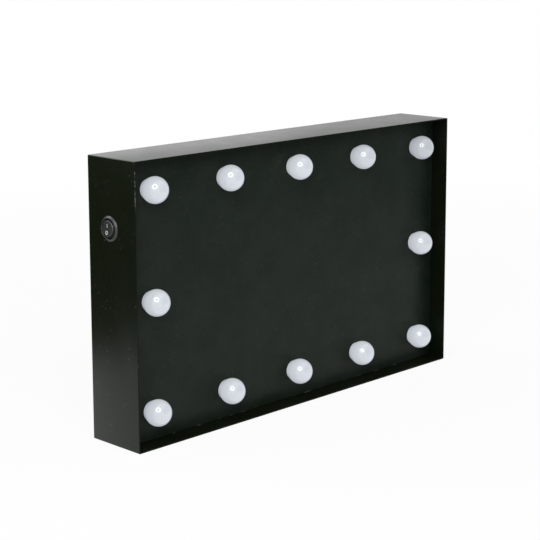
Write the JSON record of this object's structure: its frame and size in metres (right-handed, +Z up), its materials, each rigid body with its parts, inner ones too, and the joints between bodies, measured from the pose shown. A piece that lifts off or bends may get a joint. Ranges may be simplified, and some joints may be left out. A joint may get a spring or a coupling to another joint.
{
  "type": "blackboard table lamp",
  "caption": "Box-shaped tabletop lamp standing on its edge: black sheet-metal case, recessed blackboard framed by milky globe bulbs, round side rocker switch, rear battery door.",
  "frame": {"origin": "middle of the case's base face, on the surface that the lamp stands on", "axes": "+Z up, the blackboard faces -Y, +X to the right seen from the front"},
  "size_m": [0.4239, 0.0691, 0.255],
  "materials": {
    "black_paint": "satin",
    "blackboard": "semi-matte",
    "milky_globe": "gloss",
    "black_gloss": "gloss",
    "rocker_plastic": "satin",
    "black_matte": "fine texture",
    "black_screw": "black oxide",
    "brass_parts": "stamped",
    "spring_steel": "nickel plated",
    "red_wire": "smooth",
    "black_wire": "smooth",
    "cell_wrap": "gloss",
    "led_resin": "clear resin"
  },
  "bodies": {
    "case": {"case_frame": "black_paint", "blackboard_panel": "blackboard", "back_cover": "black_paint", "back_cover_screws": "black_screw", "switch_housing": "black_gloss", "switch_terminals": "brass_parts", "battery_box": "black_matte", "battery_box_screws": "black_screw", "battery_contacts": "spring_steel", "battery_springs": "spring_steel", "led_jumpers_red": "red_wire", "led_jumpers_black": "black_wire", "battery_lead_red": "red_wire", "battery_lead_black": "black_wire", "switch_lead_red": "red_wire", "battery_cell_1": "cell_wrap", "battery_cell_2": "cell_wrap", "battery_cell_3": "cell_wrap", "bulb_globe_01": "milky_globe", "bulb_globe_02": "milky_globe", "bulb_globe_03": "milky_globe", "bulb_globe_04": "milky_globe", "bulb_globe_05": "milky_globe", "bulb_globe_06": "milky_globe", "bulb_globe_07": "milky_globe", "bulb_globe_08": "milky_globe", "bulb_globe_09": "milky_globe", "bulb_globe_10": "milky_globe", "bulb_globe_11": "milky_globe", "bulb_globe_12": "milky_globe", "bulb_socket_01": "black_matte", "bulb_socket_02": "black_matte", "bulb_socket_03": "black_matte", "bulb_socket_04": "black_matte", "bulb_socket_05": "black_matte", "bulb_socket_06": "black_matte", "bulb_socket_07": "black_matte", "bulb_socket_08": "black_matte", "bulb_socket_09": "black_matte", "bulb_socket_10": "black_matte", "bulb_socket_11": "black_matte", "bulb_socket_12": "black_matte", "bulb_led_01": "led_resin", "bulb_led_02": "led_resin", "bulb_led_03": "led_resin", "bulb_led_04": "led_resin", "bulb_led_05": "led_resin", "bulb_led_06": "led_resin", "bulb_led_07": "led_resin", "bulb_led_08": "led_resin", "bulb_led_09": "led_resin", "bulb_led_10": "led_resin", "bulb_led_11": "led_resin", "bulb_led_12": "led_resin"},
    "rocker": {"switch_rocker": "rocker_plastic", "switch_plunger": "brass_parts", "plunger_spring": "spring_steel"},
    "contact_blade": {"contact_blade": "brass_parts"},
    "battery_door": {"battery_door": "black_matte", "door_screw": "black_screw"}
  },
  "joints": [
    {"name": "rocker_tilt", "type": "hinge", "parent": "case", "child": "rocker", "pos_m": [-0.208, 0.0025, 0.1935], "axis": [0, 1, 0], "range_deg": [-10, 0]},
    {"name": "blade_tilt", "type": "hinge", "parent": "case", "child": "contact_blade", "pos_m": [-0.2008, 0.0025, 0.1935], "axis": [0, 1, 0], "range_deg": [0, 6]},
    {"name": "door_swing", "type": "hinge", "parent": "case", "child": "battery_door", "pos_m": [0, 0.0294, 0.1076], "axis": [1, 0, 0], "range_deg": [0, 95]}
  ],
  "couplings": [
    {"joint": "blade_tilt", "follows": "rocker_tilt", "ratio": -0.6}
  ]
}
